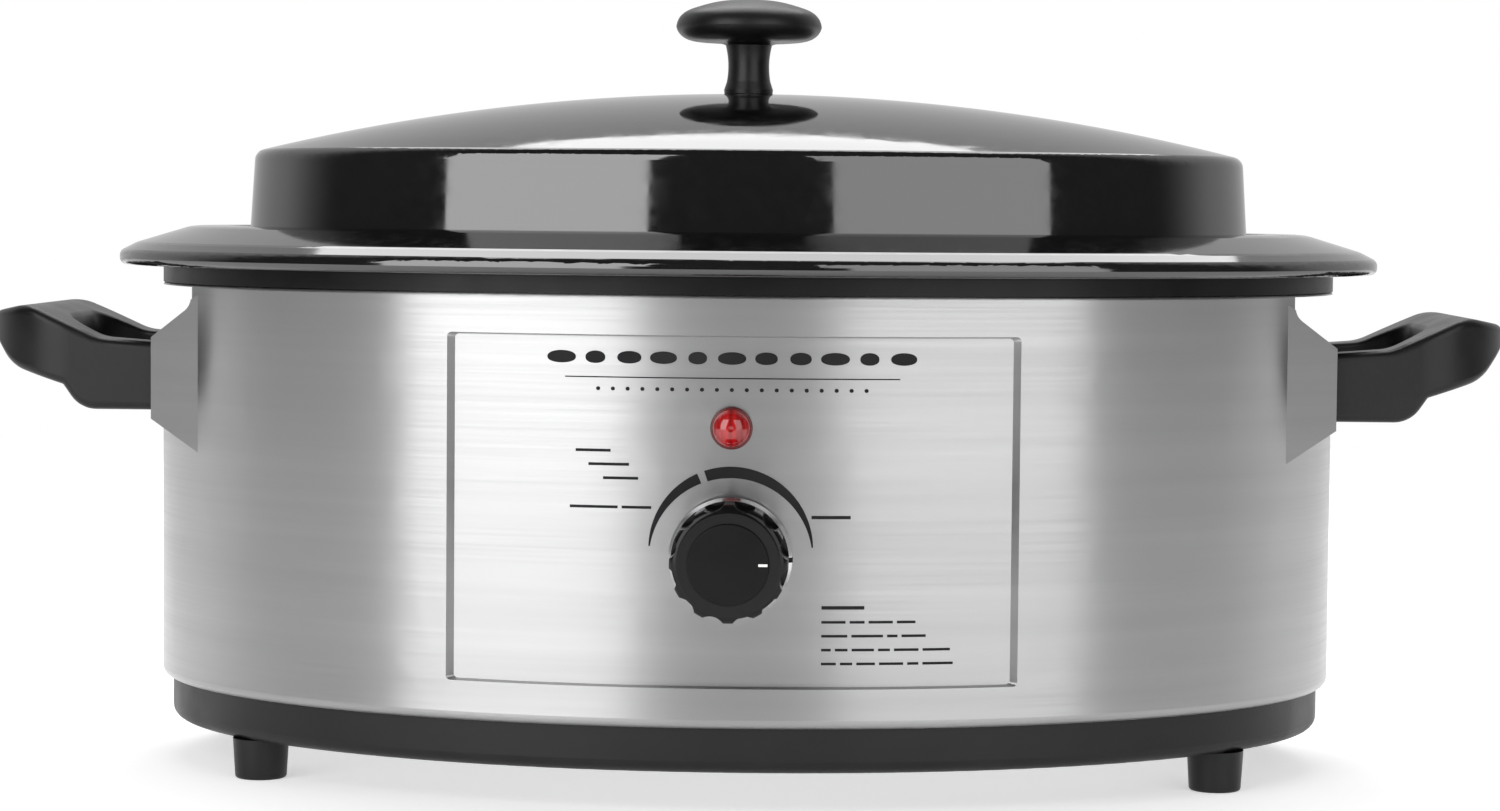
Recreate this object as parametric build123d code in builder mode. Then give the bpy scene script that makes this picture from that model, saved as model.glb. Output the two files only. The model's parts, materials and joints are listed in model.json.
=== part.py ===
"""Oval hot stone heater: steel body, removable enamelled pan, domed lid, dial and two loop handles.

Millimetres, +Z up. The origin is on the body's axis, on the surface that the feet stand on.
+X runs along the body's long axis, and the control panel faces -Y.
"""

import os
from math import cos, hypot, radians, sin

from build123d import *

# Body: every wall of the body is a constant distance inside one ellipse, the shell's outside.
SHELL_A = 174.0
SHELL_B = 122.0
SHEET = 0.8
SHELL_LOW = 24.0
SHELL_HIGH = 140.6
HEM_WIDTH = 4.0
FLANGE_WIDTH = 11.0

# Recessed control panel, pressed into the front of the shell.
PANEL_HALF_WIDTH = 77.6
PANEL_LOW = 34.6
PANEL_HIGH = 130.2
PANEL_DEPTH = 2.0
PANEL_END_SLOPE = 0.9
PANEL_MARGIN = 6.0
PANEL_PLAN_SLOPE = 0.7

# Flats at the ends of the shell, where the handles are screwed on: pressed in along the middle
# of each end and standing proud towards their sides.
BOSS_X = 170.5
BOSS_HALF_WIDTH = 46.0
BOSS_LOW = 101.5
BOSS_HIGH = 128.5
BOSS_FLARE = 12.2
BOSS_ROOT_X = 150.0
PRESS_MARGIN = 4.0
PRESS_FLARE = 8.0

# Above each flat the end is pressed in under the flange.
END_PRESS_X = 157.5
END_PRESS_BEND = 134.5
END_PRESS_LOW = 119.2
END_PRESS_HALF_WIDTH = 62.0

# Black ring on top of the body, and the heating well hanging from it.
RING_HIGH = 145.4
RING_SEAT = 155.4
RING_INNER_X = 151.0
WELL_FLOOR = 33.2
WELL_CORNER_X = 142.5
WELL_TOP_X = 148.9
WELL_TOP = SHELL_HIGH + SHEET

# Base ring, bottom plate and feet.
BASE_A = 171.0
BASE_LOW = 11.5
BASE_WALL = 3.0
BASE_LIP_X = 152.0
PLATE_EDGE_X = 158.5
FOOT_X = 136.0
FOOT_Y = 60.5
FOOT_TOP_RADIUS = 8.0
FOOT_TIP_RADIUS = 7.3
TIE_STUD_X = 70.0

# Removable pan.
PAN_GAUGE = 1.2
PAN_FLOOR = 37.5
PAN_CORNER_X = 139.0
PAN_TOP_X = 145.5
PAN_SEAT = 155.1
PAN_RIDGE = 157.2
PAN_TIP_X = 186.8
DIMPLE_X = 167.6

# Lid.
LID_A = 148.5
LID_B = 96.5
LID_GAUGE = 1.2
LID_LOW = 155.4
LID_SHOULDER = 179.3
LID_TOP = 197.6
LID_DRAFT = 1.5
KNOB_BASE = LID_TOP + 0.1
KNOB_STEM = 14.4
KNOB_HEIGHT = 28.0
KNOB_RADIUS = 21.7

# Handles.
HANDLE_TIP_X = 222.5
HANDLE_HALF_WIDTH = 41.0
GRIP_GAP_X = 200.0
GRIP_GAP_HALF_WIDTH = 28.0
HANDLE_SCREW_Y = 34.5
HANDLE_SCREW_Z = 114.0

HANDLE_SCREW_PLACES = [(BOSS_X, y, HANDLE_SCREW_Z) for y in (-HANDLE_SCREW_Y, HANDLE_SCREW_Y)]

# Controls.
DIAL_Z = 70.0
LAMP_Z = 105.0
PANEL_FACE = SHELL_B - PANEL_DEPTH
SHAFT_RADIUS = 3.0
SHAFT_CLEARANCE = 0.05
BUSH_RADIUS = 4.75
SKIRT_RADIUS = 16.6
KNOB_GRIP_RADIUS = 15.8
FLUTE_COUNT = 12
CAP_RADIUS = 10.9
SKIRT_BACK = PANEL_FACE + 1.0
SKIRT_FRONT = SKIRT_BACK + 2.4
DIAL_FRONT = PANEL_FACE + 17.6
CAP_FRONT = DIAL_FRONT + 0.8
CAP_RECESS = 1.0
FACE_WEB = 3.5
SOCKET_RADIUS = 5.0
LENS_STEM_RADIUS = 4.0

# Fasteners.
RING_SCREW_INSET = 7.5
RING_SCREW_GRIP = 4.0
RING_SCREW_ANGLES = (30, 75, 105, 150, 210, 255, 285, 330)
BOTTOM_SCREW_ANGLES = range(30, 390, 60)
BOTTOM_SCREW_INSET = 25.2
SCREW_RADIUS = 1.5
SCREW_HOLE_RADIUS = 1.55
SCREW_PASS_RADIUS = 1.7
SCREW_HEAD_RADIUS = 2.6
SCREW_HEAD_HEIGHT = 1.8

# Heater and wiring, between the well and the shell.
BAND_LOW = 45.0
BAND_HIGH = 85.0
BAND_THICKNESS = 2.5
BAND_GAP_HALF_WIDTH = 22.0
WRAP_LOW = 44.0
WRAP_HIGH = 128.0
WRAP_THICKNESS = 8.0
WRAP_GAP_HALF_WIDTH = 50.0
GLAND_Z = 38.0
GLAND_BORE_RADIUS = 4.0
LEAD_RADIUS = 1.3
LEAD_BEND = 3.0

DIAL_AXIS = Axis((0, 0, DIAL_Z), (0, -1, 0))
LAMP_AXIS = Axis((0, 0, LAMP_Z), (0, -1, 0))
GLAND_AXIS = Axis((0, 0, GLAND_Z), (0, 1, 0))
POINTER_X = CAP_RADIUS - 1.7

CENTRE = (Align.CENTER, Align.CENTER, Align.CENTER)
ON_TOP = (Align.CENTER, Align.CENTER, Align.MIN)
BELOW = (Align.CENTER, Align.CENTER, Align.MAX)

os.makedirs("parts", exist_ok=True)


def finish(piece, name):
    """Label a finished sub-part and write it as its own STEP file."""
    piece.part.label = name
    export_step(piece.part, f"parts/{name}.step")


def rim_point(angle, inset):
    """Plan point at an angle round the body, a given inset from the shell's outside."""
    turn = radians(angle)
    normal_x = cos(turn) / SHELL_A
    normal_y = sin(turn) / SHELL_B
    length = hypot(normal_x, normal_y)
    x = SHELL_A * cos(turn) - inset * normal_x / length
    y = SHELL_B * sin(turn) - inset * normal_y / length
    return (x, y)


def well_x(z):
    """Outside of the heating well's wall at the body's end, at height z."""
    rise = (z - WELL_FLOOR) / (WELL_TOP - WELL_FLOOR)
    return WELL_CORNER_X + (WELL_TOP_X - WELL_CORNER_X) * rise + SHEET + 0.05


def front_plane(distance):
    """Plane facing -Y at the given distance in front of the body's axis."""
    return Plane.XZ.offset(distance)


FOOT_NAMES = ("foot_front_left", "foot_front_right", "foot_rear_left", "foot_rear_right")
FOOT_CENTRES = [(x, y) for y in (-FOOT_Y, FOOT_Y) for x in (-FOOT_X, FOOT_X)]
RING_SCREW_PLACES = [(*rim_point(angle, RING_SCREW_INSET), SHELL_HIGH) for angle in RING_SCREW_ANGLES]
BOTTOM_SCREW_POINTS = [rim_point(angle, BOTTOM_SCREW_INSET) for angle in BOTTOM_SCREW_ANGLES]

with BuildLine() as shell_line:
    EllipticalCenterArc((0, 0), SHELL_A, SHELL_B, arc_size=360)
SHELL_PATH = shell_line.wire()


def recess(grow, floor_inset, face_inset):
    """Block of the control panel's recess, grown on all four sides."""
    low = PANEL_LOW - grow
    high = PANEL_HIGH + grow
    half_width = PANEL_HALF_WIDTH + grow
    side_y = SHELL_B * (1 - (PANEL_HALF_WIDTH / SHELL_A) ** 2) ** 0.5
    spread = PANEL_MARGIN
    step = spread * PANEL_PLAN_SLOPE
    with BuildPart() as block:
        with BuildSketch(Plane.XZ):
            with BuildLine():
                Polyline(
                    (SHELL_A - floor_inset, low + PANEL_END_SLOPE),
                    (SHELL_A - face_inset, low),
                    (SHELL_A - face_inset, high),
                    (SHELL_A - floor_inset, high - PANEL_END_SLOPE),
                    close=True,
                )
            make_face()
        sweep(path=SHELL_PATH)
        with BuildSketch(Plane.XY):
            with BuildLine():
                Polyline(
                    (-half_width - spread, -SHELL_B - spread),
                    (half_width + spread, -SHELL_B - spread),
                    (half_width + spread, -side_y - step),
                    (half_width - spread, -side_y + step),
                    (-half_width + spread, -side_y + step),
                    (-half_width - spread, -side_y - step),
                    close=True,
                )
            make_face()
        extrude(amount=SHELL_HIGH, mode=Mode.INTERSECT)
        fillet(block.edges().group_by(SortBy.LENGTH)[0], radius=1.3)
    return block.part


def handle_flat(shrink):
    """Block that stands behind the right-hand flat, shrunk on every face."""
    middle = (BOSS_LOW + BOSS_HIGH) / 2
    height = BOSS_HIGH - BOSS_LOW - 2 * shrink
    width = 2 * (BOSS_HALF_WIDTH - shrink)
    with BuildPart() as block:
        with BuildSketch(Plane.YZ.offset(BOSS_ROOT_X)):
            with Locations((0, middle)):
                Rectangle(width + 2 * BOSS_FLARE, height + 2 * BOSS_FLARE)
        with BuildSketch(Plane.YZ.offset(BOSS_X - shrink)):
            with Locations((0, middle)):
                Rectangle(width, height)
        loft()
    return block.part


def handle_press(grow):
    """Block pressed into the right-hand end in front of the flat, grown on every face."""
    middle = (BOSS_LOW + BOSS_HIGH) / 2
    height = BOSS_HIGH - BOSS_LOW + 2 * grow
    width = 2 * (BOSS_HALF_WIDTH + PRESS_MARGIN + grow)
    with BuildPart() as block:
        with BuildSketch(Plane.YZ.offset(BOSS_X - grow)):
            with Locations((0, middle)):
                Rectangle(width, height)
        with BuildSketch(Plane.YZ.offset(BOSS_X - grow + PRESS_FLARE)):
            with Locations((0, middle)):
                Rectangle(width, height + 3 * PRESS_FLARE)
        loft()
    return block.part


def end_press(grow):
    """Block pressed into the right-hand end between the flat and the flange, grown all round."""
    with BuildPart() as block:
        with BuildSketch(Plane.XZ):
            with BuildLine():
                FilletPolyline(
                    (BOSS_X + PRESS_FLARE, END_PRESS_LOW),
                    (END_PRESS_X, END_PRESS_BEND),
                    (END_PRESS_X, SHELL_HIGH - SHEET),
                    (BOSS_X + PRESS_FLARE, SHELL_HIGH - SHEET),
                    close=True,
                    radius=[0, 5.0, 0, 0],
                )
            make_face()
            if grow:
                offset(amount=grow, kind=Kind.INTERSECTION)
        extrude(amount=END_PRESS_HALF_WIDTH, both=True)
    return block.part


# Outer shell: brushed steel wrap with a curled hem, a top flange, the panel recess and two bosses.
with BuildPart() as outer_shell:
    with BuildSketch(Plane.XZ):
        with BuildLine():
            FilletPolyline(
                (SHELL_A - HEM_WIDTH, SHELL_LOW),
                (SHELL_A, SHELL_LOW),
                (SHELL_A, SHELL_HIGH),
                (SHELL_A - FLANGE_WIDTH, SHELL_HIGH),
                radius=[2.6, 1.0],
            )
            offset(amount=SHEET, side=Side.LEFT)
        make_face()
    sweep(path=SHELL_PATH)
    add(recess(SHEET, PANEL_DEPTH + SHEET, SHEET / 2))
    add(recess(0, PANEL_DEPTH, -2.0), mode=Mode.SUBTRACT)
    with BuildSketch(Plane.XY.offset(SHELL_LOW + 4)):
        Ellipse(SHELL_A - SHEET, SHELL_B - SHEET)
    cavity = extrude(amount=SHELL_HIGH - SHEET - SHELL_LOW - 4, mode=Mode.PRIVATE)
    flat_skin = handle_flat(0) - cavity
    press_skin = handle_press(SHEET) & cavity
    end_block = end_press(SHEET)
    end_skin = end_block & cavity
    add([flat_skin, flat_skin.mirror(Plane.YZ)])
    add([press_skin, press_skin.mirror(Plane.YZ)])
    add([end_skin, end_skin.mirror(Plane.YZ)])
    flat_hollow = handle_flat(SHEET) - end_block
    press_hollow = handle_press(0)
    end_hollow = end_press(0)
    add([flat_hollow, flat_hollow.mirror(Plane.YZ)], mode=Mode.SUBTRACT)
    add([press_hollow, press_hollow.mirror(Plane.YZ)], mode=Mode.SUBTRACT)
    add([end_hollow, end_hollow.mirror(Plane.YZ)], mode=Mode.SUBTRACT)
    with BuildSketch(front_plane(PANEL_FACE - 10)):
        with Locations((0, DIAL_Z)):
            Circle(BUSH_RADIUS + 0.2)
        with Locations((0, LAMP_Z)):
            Circle(LENS_STEM_RADIUS + 0.2)
    extrude(amount=20, mode=Mode.SUBTRACT)
    with BuildSketch(front_plane(-SHELL_B - 10)):
        with Locations((0, GLAND_Z)):
            Circle(6.5)
    extrude(amount=20, mode=Mode.SUBTRACT)
    with BuildSketch(Plane.YZ.offset(-SHELL_A)):
        with Locations((HANDLE_SCREW_Y, HANDLE_SCREW_Z), (-HANDLE_SCREW_Y, HANDLE_SCREW_Z)):
            Circle(2.2)
    extrude(amount=2 * SHELL_A, mode=Mode.SUBTRACT)
    with Locations(*RING_SCREW_PLACES):
        Cylinder(SCREW_PASS_RADIUS, 6 * SHEET, align=CENTRE, mode=Mode.SUBTRACT)
finish(outer_shell, "outer_shell")

# Body ring: flat black ring on the shell's flange, with an upstand that the pan's rim rests on.
with BuildPart() as body_ring:
    with BuildSketch(Plane.XZ):
        with BuildLine():
            Polyline(
                (SHELL_A, SHELL_HIGH),
                (SHELL_A, RING_HIGH),
                (RING_INNER_X + 8, RING_HIGH),
                (RING_INNER_X + 8, RING_SEAT),
                (RING_INNER_X + 3, RING_SEAT),
                (RING_INNER_X, RING_HIGH),
                (RING_INNER_X, WELL_TOP),
                (SHELL_A - 3, WELL_TOP),
                (SHELL_A - 3, SHELL_HIGH),
                close=True,
            )
        make_face()
    sweep(path=SHELL_PATH)
    fillet(body_ring.edges().group_by(Axis.Z)[-1], radius=0.8)
    with Locations(*RING_SCREW_PLACES):
        Cylinder(SCREW_HOLE_RADIUS, 2 * RING_SCREW_GRIP, align=CENTRE, mode=Mode.SUBTRACT)
finish(body_ring, "body_ring")

# Heating well: deep-drawn liner that hangs from the shell's flange and surrounds the pan.
with BuildPart() as liner_well:
    with BuildSketch(Plane.XZ):
        with BuildLine():
            FilletPolyline(
                (WELL_CORNER_X - 30, WELL_FLOOR),
                (WELL_CORNER_X, WELL_FLOOR),
                (WELL_TOP_X, WELL_TOP),
                (SHELL_A - 4, WELL_TOP),
                radius=[16, 1.5],
            )
            offset(amount=SHEET, side=Side.RIGHT)
        make_face()
    sweep(path=SHELL_PATH)
    with BuildSketch(Plane.XY.offset(WELL_FLOOR - SHEET)):
        Ellipse(WELL_CORNER_X - 29, SHELL_B - SHELL_A + WELL_CORNER_X - 29)
    extrude(amount=SHEET)
    with Locations(*RING_SCREW_PLACES):
        Cylinder(SCREW_PASS_RADIUS, 3 * SHEET, align=CENTRE, mode=Mode.SUBTRACT)
finish(liner_well, "liner_well")

# Ring screws: eight pan-head screws from inside, through both flanges, into the body ring.
with BuildPart() as ring_screws:
    with Locations(*RING_SCREW_PLACES):
        Cylinder(SCREW_RADIUS, RING_SCREW_GRIP - 0.2, align=ON_TOP)
        Cylinder(SCREW_RADIUS, SHEET, align=BELOW)
    with Locations(*[(x, y, z - SHEET) for x, y, z in RING_SCREW_PLACES]):
        Cylinder(SCREW_HEAD_RADIUS, SCREW_HEAD_HEIGHT, align=BELOW)
finish(ring_screws, "ring_screws")

# Base ring: moulded black channel under the shell, with a locating spigot and a wide lip.
with BuildPart() as base_ring:
    with BuildSketch(Plane.XZ):
        with BuildLine():
            FilletPolyline(
                (BASE_A, SHELL_LOW),
                (BASE_A, BASE_LOW),
                (BASE_LIP_X, BASE_LOW),
                (BASE_LIP_X, BASE_LOW + BASE_WALL),
                (BASE_A - 5.6, BASE_LOW + BASE_WALL),
                (BASE_A - 5.6, SHELL_LOW + 8),
                (BASE_A - BASE_WALL, SHELL_LOW + 8),
                (BASE_A - BASE_WALL, SHELL_LOW),
                close=True,
                radius=[0, 3.4, 0.6, 0, 0, 0.6, 0.6, 0],
            )
        make_face()
    sweep(path=SHELL_PATH)
    with Locations(*[(x, y, BASE_LOW) for x, y in FOOT_CENTRES]):
        Cylinder(SCREW_HOLE_RADIUS, 2 * BASE_WALL, align=CENTRE, mode=Mode.SUBTRACT)
    with Locations(*[(*point, BASE_LOW) for point in BOTTOM_SCREW_POINTS]):
        Cylinder(SCREW_HOLE_RADIUS, 2 * BASE_WALL, align=CENTRE, mode=Mode.SUBTRACT)
finish(base_ring, "base_ring")

# Bottom plate: vented steel sheet lying on the base ring's lip.
PLATE_A = PLATE_EDGE_X
PLATE_B = SHELL_B - SHELL_A + PLATE_EDGE_X
PLATE_Z = BASE_LOW + BASE_WALL
with BuildPart() as bottom_plate:
    with BuildSketch(Plane.XY.offset(PLATE_Z)):
        Ellipse(PLATE_A, PLATE_B)
        with GridLocations(24, 22, 5, 3):
            SlotOverall(16, 4, mode=Mode.SUBTRACT)
        with Locations((-TIE_STUD_X, 0), (TIE_STUD_X, 0)):
            Circle(2.7, mode=Mode.SUBTRACT)
        with Locations(*BOTTOM_SCREW_POINTS):
            Circle(SCREW_HOLE_RADIUS, mode=Mode.SUBTRACT)
    extrude(amount=SHEET)
finish(bottom_plate, "bottom_plate")

# Bottom screws: six pan-head screws from below, through the lip and the bottom plate.
with BuildPart() as bottom_screws:
    with Locations(*[(*point, BASE_LOW) for point in BOTTOM_SCREW_POINTS]):
        Cylinder(SCREW_HEAD_RADIUS, SCREW_HEAD_HEIGHT, align=BELOW)
        Cylinder(SCREW_RADIUS, 7.0, align=ON_TOP)
    with Locations(*[(*point, BASE_LOW - SCREW_HEAD_HEIGHT) for point in BOTTOM_SCREW_POINTS]):
        Box(3.6, 0.7, 1.6, mode=Mode.SUBTRACT)
        Box(0.7, 3.6, 1.6, mode=Mode.SUBTRACT)
finish(bottom_screws, "bottom_screws")

# Tie studs: welded under the well, they pull the bottom plate, base ring and shell together.
with BuildPart() as tie_studs:
    with Locations((-TIE_STUD_X, 0, BASE_LOW + 0.2), (TIE_STUD_X, 0, BASE_LOW + 0.2)):
        Cylinder(2.5, WELL_FLOOR - SHEET - BASE_LOW - 0.2, align=ON_TOP)
finish(tie_studs, "tie_studs")

with BuildPart() as tie_nuts:
    with BuildSketch(Plane.XY.offset(PLATE_Z - 2.6)):
        with Locations((-TIE_STUD_X, 0), (TIE_STUD_X, 0)):
            RegularPolygon(4.0, 6, major_radius=False)
            Circle(2.52, mode=Mode.SUBTRACT)
    extrude(amount=2.6)
finish(tie_nuts, "tie_nuts")


# Feet: four tapered posts under the base ring, each held by a screw from inside.
for foot_name, (foot_x, foot_y) in zip(FOOT_NAMES, FOOT_CENTRES):
    with BuildPart() as foot:
        with BuildSketch(Plane.XY):
            with Locations((foot_x, foot_y)):
                Circle(FOOT_TIP_RADIUS)
        with BuildSketch(Plane.XY.offset(BASE_LOW)):
            with Locations((foot_x, foot_y)):
                Circle(FOOT_TOP_RADIUS)
        loft()
        fillet(foot.edges().group_by(Axis.Z)[0], radius=0.9)
        with Locations((foot_x, foot_y, BASE_LOW)):
            Cylinder(SCREW_HOLE_RADIUS, 8.2, align=BELOW, mode=Mode.SUBTRACT)
    finish(foot, foot_name)

with BuildPart() as foot_screws:
    with Locations(*[(x, y, PLATE_Z) for x, y in FOOT_CENTRES]):
        Cylinder(SCREW_HEAD_RADIUS, SCREW_HEAD_HEIGHT, align=ON_TOP)
        Cylinder(SCREW_RADIUS, 10.5, align=BELOW)
finish(foot_screws, "foot_screws")

# Insert pan: thin enamelled pan with a wide rim that droops outside the body, and a lid groove.
with BuildPart() as insert_pan:
    with BuildSketch(Plane.XZ):
        with BuildLine():
            FilletPolyline(
                (PAN_CORNER_X - 26, PAN_FLOOR),
                (PAN_CORNER_X, PAN_FLOOR),
                (PAN_TOP_X, PAN_SEAT),
                (PAN_TOP_X + 6.5, PAN_SEAT),
                (PAN_TOP_X + 9, PAN_RIDGE),
                (PAN_TOP_X + 20, PAN_RIDGE),
                (PAN_TIP_X - 5, PAN_RIDGE - 5),
                (PAN_TIP_X, 149.6),
                (PAN_TIP_X, 145.7),
                (PAN_TIP_X - 5, 145.7),
                radius=[16, 2.2, 1.0, 1.2, 16, 8, 2.2, 1.9],
            )
            offset(amount=PAN_GAUGE, side=Side.RIGHT)
        make_face()
    sweep(path=SHELL_PATH)
    with BuildSketch(Plane.XY.offset(PAN_FLOOR - PAN_GAUGE)):
        Ellipse(PAN_CORNER_X - 25, SHELL_B - SHELL_A + PAN_CORNER_X - 25)
    extrude(amount=PAN_GAUGE)
    with Locations((DIMPLE_X, 0, PAN_RIDGE + 4.2), (-DIMPLE_X, 0, PAN_RIDGE + 4.2)):
        Sphere(5.0, mode=Mode.SUBTRACT)
finish(insert_pan, "insert_pan")


def dome_block(inset, low):
    """Solid lid form: drafted oval wall, rounded shoulder and shallow dome, inset all over."""
    foot_a = LID_A - inset
    foot_b = LID_B - inset
    top = LID_TOP - inset
    shoulder = LID_SHOULDER - inset
    with BuildPart() as block:
        with BuildSketch(Plane.XZ):
            with BuildLine():
                dome = ThreePointArc(
                    (0, top),
                    (foot_a / 2, top - (top - shoulder) * 0.254),
                    (foot_a - LID_DRAFT, shoulder),
                )
                Polyline(dome @ 1, (foot_a, low), (0, low), dome @ 0)
            make_face()
        revolve(axis=Axis.Z)
        shoulder_edge = block.edges().filter_by(lambda edge: abs(edge.center().Z - shoulder) < 0.1)
        fillet(shoulder_edge, radius=3.5 - inset)
    return scale(block.part, by=(1, foot_b / foot_a, 1), mode=Mode.PRIVATE)


# Lid shell: enamelled steel, open underneath, with a hole for the knob's screw.
with BuildPart() as lid_shell:
    add(dome_block(0, LID_LOW))
    add(dome_block(LID_GAUGE, LID_LOW - 1), mode=Mode.SUBTRACT)
    with Locations((0, 0, LID_TOP)):
        Cylinder(2.3, 10, mode=Mode.SUBTRACT)
finish(lid_shell, "lid_shell")

# Lid knob: waisted stem with a flared foot and a mushroom cap.
CAP_EDGE_Z = KNOB_BASE + KNOB_STEM + 5.4
with BuildPart() as lid_knob:
    with BuildSketch(Plane.XZ):
        with BuildLine():
            foot_line = Polyline(
                (0, KNOB_BASE),
                (7.2, KNOB_BASE),
                (7.3, KNOB_BASE + 1.2),
                (6.5, KNOB_BASE + 3.6),
            )
            stem_line = ThreePointArc(
                foot_line @ 1,
                (6.1, KNOB_BASE + 8.5),
                (6.9, KNOB_BASE + KNOB_STEM),
            )
            under_line = Spline(
                stem_line @ 1,
                (14.0, KNOB_BASE + KNOB_STEM + 0.9),
                (KNOB_RADIUS, CAP_EDGE_Z),
                tangents=[(0.6, 0.3), (0.25, 1)],
            )
            top_line = Spline(
                under_line @ 1,
                (15.5, KNOB_BASE + KNOB_HEIGHT - 2.3),
                (0, KNOB_BASE + KNOB_HEIGHT),
                tangents=[(-0.1, 1), (-1, 0)],
            )
            Line(top_line @ 1, foot_line @ 0)
        make_face()
    revolve(axis=Axis.Z)
    with Locations((0, 0, KNOB_BASE)):
        Cylinder(3.5, 12, align=ON_TOP, mode=Mode.SUBTRACT)
finish(lid_knob, "lid_knob")

# Threaded insert moulded into the knob.
with BuildPart() as lid_knob_insert:
    with BuildSketch(Plane.XY.offset(KNOB_BASE + 0.4)):
        Circle(3.45)
        Circle(2.02, mode=Mode.SUBTRACT)
    extrude(amount=11)
finish(lid_knob_insert, "lid_knob_insert")

LID_UNDERSIDE = LID_TOP - LID_GAUGE
with BuildPart() as lid_knob_washer:
    with BuildSketch(Plane.XY.offset(LID_UNDERSIDE - 1.1)):
        Circle(7.0)
        Circle(2.1, mode=Mode.SUBTRACT)
    extrude(amount=0.9)
finish(lid_knob_washer, "lid_knob_washer")

with BuildPart() as lid_knob_screw:
    with Locations((0, 0, LID_UNDERSIDE - 1.1)):
        Cylinder(4.0, 2.2, align=BELOW)
        Cylinder(2.0, 11, align=ON_TOP)
    with Locations((0, 0, LID_UNDERSIDE - 3.3)):
        Box(5.2, 0.8, 2.0, mode=Mode.SUBTRACT)
        Box(0.8, 5.2, 2.0, mode=Mode.SUBTRACT)
finish(lid_knob_screw, "lid_knob_screw")

# Handles: moulded loops whose grip rises and thins towards the tip, with a finger gap.
with BuildPart() as handle_right:
    with BuildSketch(Plane.XZ):
        with BuildLine():
            FilletPolyline(
                (BOSS_X, 123.4),
                (187.0, 124.6),
                (208.0, 134.2),
                (HANDLE_TIP_X + 3.0, 130.6),
                (213.5, 115.9),
                (197.5, 110.9),
                (192.5, 103.7),
                (BOSS_X, 103.7),
                close=True,
                radius=[0, 16, 13, 4.2, 14, 1.0, 9, 0],
            )
        make_face()
    extrude(amount=HANDLE_HALF_WIDTH, both=True)
    with BuildSketch(Plane.XY.offset(BOSS_LOW)):
        with BuildLine():
            FilletPolyline(
                (BOSS_X, -HANDLE_HALF_WIDTH),
                (HANDLE_TIP_X, -HANDLE_HALF_WIDTH),
                (HANDLE_TIP_X, HANDLE_HALF_WIDTH),
                (BOSS_X, HANDLE_HALF_WIDTH),
                close=True,
                radius=[0, 27, 27, 0],
            )
        make_face()
    extrude(amount=40, mode=Mode.INTERSECT)
    outer_edges = handle_right.edges().filter_by(lambda edge: edge.center().X > BOSS_X + 0.5)
    fillet(outer_edges.filter_by(lambda edge: edge.center().Z > 118), radius=2.4)
    with BuildSketch(Plane.XY.offset(BOSS_LOW)):
        with BuildLine():
            FilletPolyline(
                (BOSS_X, -GRIP_GAP_HALF_WIDTH),
                (GRIP_GAP_X, -GRIP_GAP_HALF_WIDTH),
                (GRIP_GAP_X, GRIP_GAP_HALF_WIDTH),
                (BOSS_X, GRIP_GAP_HALF_WIDTH),
                close=True,
                radius=[0, 14, 14, 0],
            )
        make_face()
    extrude(amount=40, mode=Mode.SUBTRACT)
    gap_edges = handle_right.edges().filter_by(
        lambda edge: abs(edge.center().Y) < GRIP_GAP_HALF_WIDTH + 0.1
        and edge.center().X < GRIP_GAP_X + 0.1
        and edge.center().X > BOSS_X + 0.5
        and edge.center().Z > 116
    )
    fillet(gap_edges, radius=1.6)
    with Locations(*HANDLE_SCREW_PLACES):
        Cylinder(1.9, 15, rotation=(0, 90, 0), align=ON_TOP, mode=Mode.SUBTRACT)
finish(handle_right, "handle_right")

with BuildPart() as handle_left:
    add(mirror(handle_right.part, about=Plane.YZ))
finish(handle_left, "handle_left")

# Handle screws and washers: two at each end, driven from inside the shell.
with BuildPart() as handle_screws:
    with Locations(*HANDLE_SCREW_PLACES):
        Cylinder(1.85, 13, rotation=(0, 90, 0), align=ON_TOP)
        Cylinder(1.85, SHEET + 1, rotation=(0, -90, 0), align=ON_TOP)
    with Locations(*[(x - SHEET - 1, y, z) for x, y, z in HANDLE_SCREW_PLACES]):
        Cylinder(3.6, 2.4, rotation=(0, -90, 0), align=ON_TOP)
    mirror(about=Plane.YZ)
finish(handle_screws, "handle_screws")

with BuildPart() as handle_washers:
    with BuildSketch(Plane.YZ.offset(BOSS_X - SHEET - 0.95)):
        with Locations((HANDLE_SCREW_Y, HANDLE_SCREW_Z), (-HANDLE_SCREW_Y, HANDLE_SCREW_Z)):
            Circle(4.8)
            Circle(1.9, mode=Mode.SUBTRACT)
    extrude(amount=0.9)
    mirror(about=Plane.YZ)
finish(handle_washers, "handle_washers")


# Thermostat: moulded body behind the panel, brass bush through it, nut in front.
THERMOSTAT_FRONT = PANEL_FACE - SHEET - 2.1
THERMOSTAT_BACK = THERMOSTAT_FRONT - 15.0
THERMOSTAT_HALF_WIDTH = 16.0
BUSH_FRONT = PANEL_FACE + 4.0
with BuildPart() as thermostat_body:
    with BuildSketch(front_plane(THERMOSTAT_BACK)):
        with Locations((0, DIAL_Z)):
            RectangleRounded(2 * THERMOSTAT_HALF_WIDTH, 30, 3)
            Circle(SHAFT_RADIUS + 0.4, mode=Mode.SUBTRACT)
    extrude(amount=THERMOSTAT_FRONT - THERMOSTAT_BACK)
finish(thermostat_body, "thermostat_body")

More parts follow.
